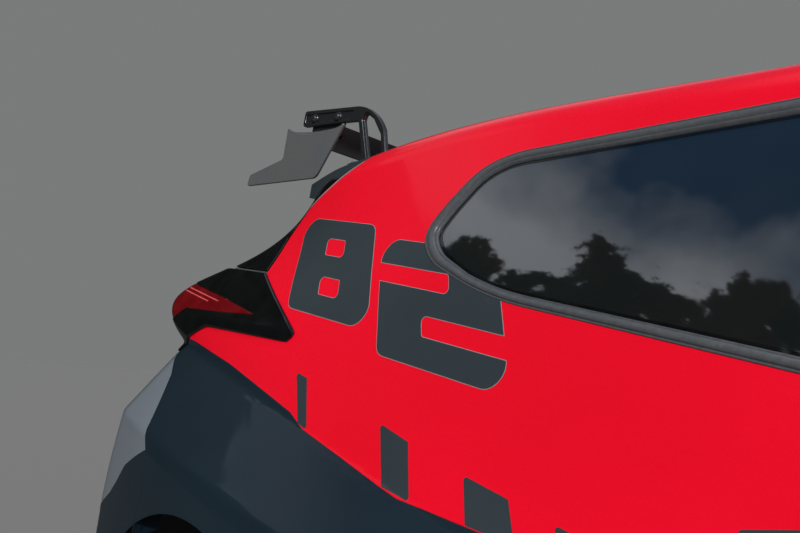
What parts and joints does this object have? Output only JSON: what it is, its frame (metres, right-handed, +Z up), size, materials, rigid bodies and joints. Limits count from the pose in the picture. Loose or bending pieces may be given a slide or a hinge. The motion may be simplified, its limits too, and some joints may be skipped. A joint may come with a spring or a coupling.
{
  "type": "rear body section of a rally car",
  "caption": "Rear body section of a three-door rally hatchback with a lifting tailgate, tail lamps, quarter windows and an adjustable rear wing.",
  "frame": {"origin": "middle of the four rear-subframe bolt holes, in the plane of the undersides of the two chassis rails", "axes": "+X forward, +Y to the car's left, +Z up"},
  "size_m": [1.4536, 1.8352, 1.262],
  "materials": {
    "body_red": "gloss",
    "seal_rubber": "matte",
    "tinted_glass": "gloss",
    "gloss_black": "gloss",
    "lens_red": "gloss",
    "bumper_grey": "gloss",
    "liner_plastic": "matte",
    "underbody": "satin",
    "steel": "satin",
    "vinyl_grey": "satin",
    "carbon": "satin",
    "anodised_black": "satin"
  },
  "bodies": {
    "shell": {"bumper_beam": "steel", "chassis_rail_left": "underbody", "chassis_rail_right": "underbody", "crossmember": "underbody", "floor_pan": "underbody", "hinge_base_left": "steel", "hinge_base_right": "steel", "inner_arch_left": "liner_plastic", "inner_arch_right": "liner_plastic", "lamp_housing_left": "gloss_black", "lamp_housing_right": "gloss_black", "lamp_lens_left": "lens_red", "lamp_lens_right": "lens_red", "quarter_glass_left": "tinted_glass", "quarter_glass_right": "tinted_glass", "rear_bumper": "bumper_grey", "rear_panel": "underbody", "roof_panel": "body_red", "side_panel_left": "body_red", "side_panel_right": "body_red", "sill_left": "body_red", "sill_right": "body_red", "window_seal_left": "seal_rubber", "window_seal_right": "seal_rubber"},
    "tailgate": {"hinge_arm_left": "steel", "hinge_arm_right": "steel", "lamp_bar": "gloss_black", "rear_glass": "tinted_glass", "roof_spoiler": "vinyl_grey", "tailgate_frame": "body_red", "window_fin_left": "gloss_black", "window_fin_right": "gloss_black", "wing_bracket_left": "anodised_black", "wing_bracket_right": "anodised_black"},
    "wing": {"end_plate_left": "carbon", "end_plate_right": "carbon", "wing_plane": "carbon", "wing_tab_left": "anodised_black", "wing_tab_right": "anodised_black"}
  },
  "joints": [
    {"name": "tailgate_hinge", "type": "hinge", "parent": "shell", "child": "tailgate", "pos_m": [-0.11, 0, 0.97], "axis": [0, 1, 0], "range_deg": [0, 75]},
    {"name": "wing_tilt", "type": "hinge", "parent": "tailgate", "child": "wing", "pos_m": [-0.377, 0, 1.066], "axis": [0, 1, 0], "range_deg": [-6, 0]}
  ]
}
